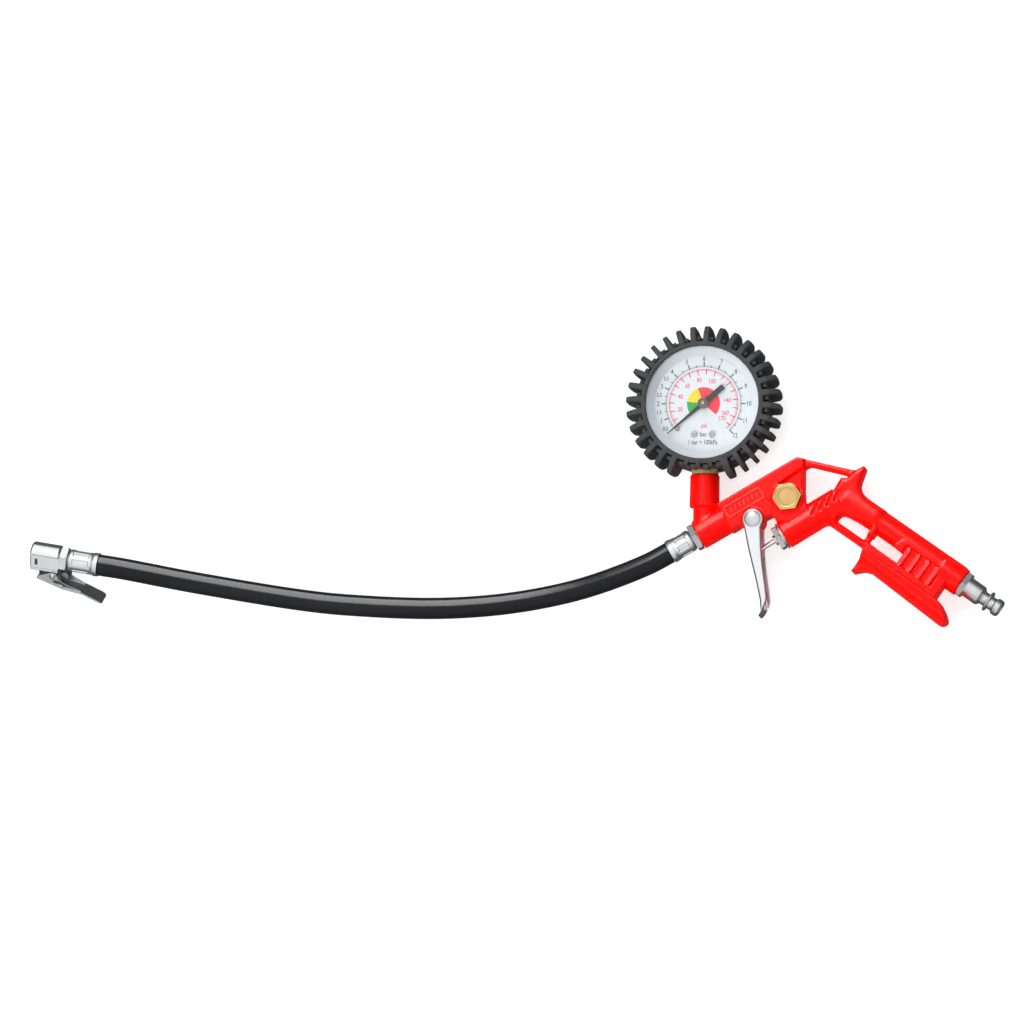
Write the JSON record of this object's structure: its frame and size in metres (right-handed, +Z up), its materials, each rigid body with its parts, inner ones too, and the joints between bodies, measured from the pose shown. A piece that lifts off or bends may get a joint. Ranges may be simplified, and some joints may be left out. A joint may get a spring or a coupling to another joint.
{
  "type": "tyre inflator gun",
  "caption": "Hand-held tyre inflator gun: cast body with trigger valve, dial pressure gauge in a rubber boot, and a short hose ending in a clip-on tyre chuck.",
  "frame": {"origin": "bottom centre of the box of the gun and gauge as they lie on their side, without the hose and chuck", "axes": "+Z up, the way the dial faces; +Y from the gun towards the gauge's top; +X towards the air inlet plug; the hose runs off towards -X"},
  "size_m": [0.5462, 0.1658, 0.0316],
  "materials": {
    "red_powder_coat": "glossy red powder coat over a metal casting",
    "steel": "turned and nickel-plated steel",
    "ferrule_steel": "pressed and crimped plated steel",
    "chrome": "bright chrome plating",
    "brass": "machined yellow brass",
    "boot_rubber": "matt black moulded rubber",
    "seal_rubber": "matt black rubber",
    "hose_rubber": "smooth, slightly glossy black rubber",
    "white_enamel": "satin off-white enamel",
    "pointer_black": "satin black paint",
    "lens": "clear polished window"
  },
  "bodies": {
    "gun": {"gun_body": "red_powder_coat", "inlet_plug": "steel", "valve_plug": "brass", "gland_washer": "steel", "gland_nut": "steel", "gland_seal": "seal_rubber", "valve_seat": "brass", "valve_spring": "steel", "gauge_stem": "brass", "gauge_case": "steel", "gauge_boot": "boot_rubber", "gauge_ring": "white_enamel", "gauge_dial": "white_enamel", "gauge_lens": "lens", "dial_screw_left": "steel", "dial_screw_right": "steel", "pointer_stop_pin": "brass", "bourdon_tube": "brass", "bourdon_link": "brass", "movement_back_plate": "brass", "movement_front_plate": "brass", "hose_fitting": "steel", "hose_ferrule_gun": "ferrule_steel", "hose": "hose_rubber", "hose_ferrule_chuck": "ferrule_steel", "chuck_tail": "chrome", "chuck_body": "chrome", "chuck_seal": "seal_rubber", "chuck_depressor": "brass", "chuck_pin": "steel", "chuck_spring": "steel"},
    "trigger": {"trigger_lever": "chrome", "trigger_rivet": "chrome"},
    "valve": {"valve_stem": "steel", "valve_poppet": "seal_rubber"},
    "pointer": {"gauge_pointer": "pointer_black", "pointer_cap": "steel", "pointer_pinion": "brass"},
    "sector": {"sector_gear": "brass"},
    "chuck_lever": {"chuck_lever": "chrome"}
  },
  "joints": [
    {"name": "trigger_pivot", "type": "hinge", "parent": "gun", "child": "trigger", "pos_m": [-0.0339, -0.0235, 0.012], "axis": [0, 0, 1], "range_deg": [0, 15], "stiffness_Nm_per_rad": 0.3, "springref_deg": -17.19},
    {"name": "valve_slide", "type": "slide", "parent": "gun", "child": "valve", "axis": [0.8526, 0.5225, 0], "range_m": [0, 0.0046], "deforming": ["valve_spring"]},
    {"name": "sector_swing", "type": "hinge", "parent": "gun", "child": "sector", "pos_m": [-0.0528, 0.02471, 0.012], "axis": [0, 0, 1], "range_deg": [0, 33], "stiffness_Nm_per_rad": 0.01, "springref_deg": -11.46},
    {"name": "pointer_spin", "type": "hinge", "parent": "gun", "child": "pointer", "pos_m": [-0.0618, 0.0403, 0.012], "axis": [0, 0, -1], "range_deg": [0, 265]},
    {"name": "chuck_lever_pivot", "type": "hinge", "parent": "gun", "child": "chuck_lever", "pos_m": [-0.42779, -0.05143, 0.01208], "axis": [-0.0947, -0.5657, 0.8192], "range_deg": [0, 18], "stiffness_Nm_per_rad": 2, "springref_deg": -17.19, "deforming": ["chuck_spring"]}
  ],
  "couplings": [
    {"joint": "valve_slide", "follows": "trigger_pivot", "m_per_rad": 0.017},
    {"joint": "pointer_spin", "follows": "sector_swing", "ratio": 8}
  ]
}
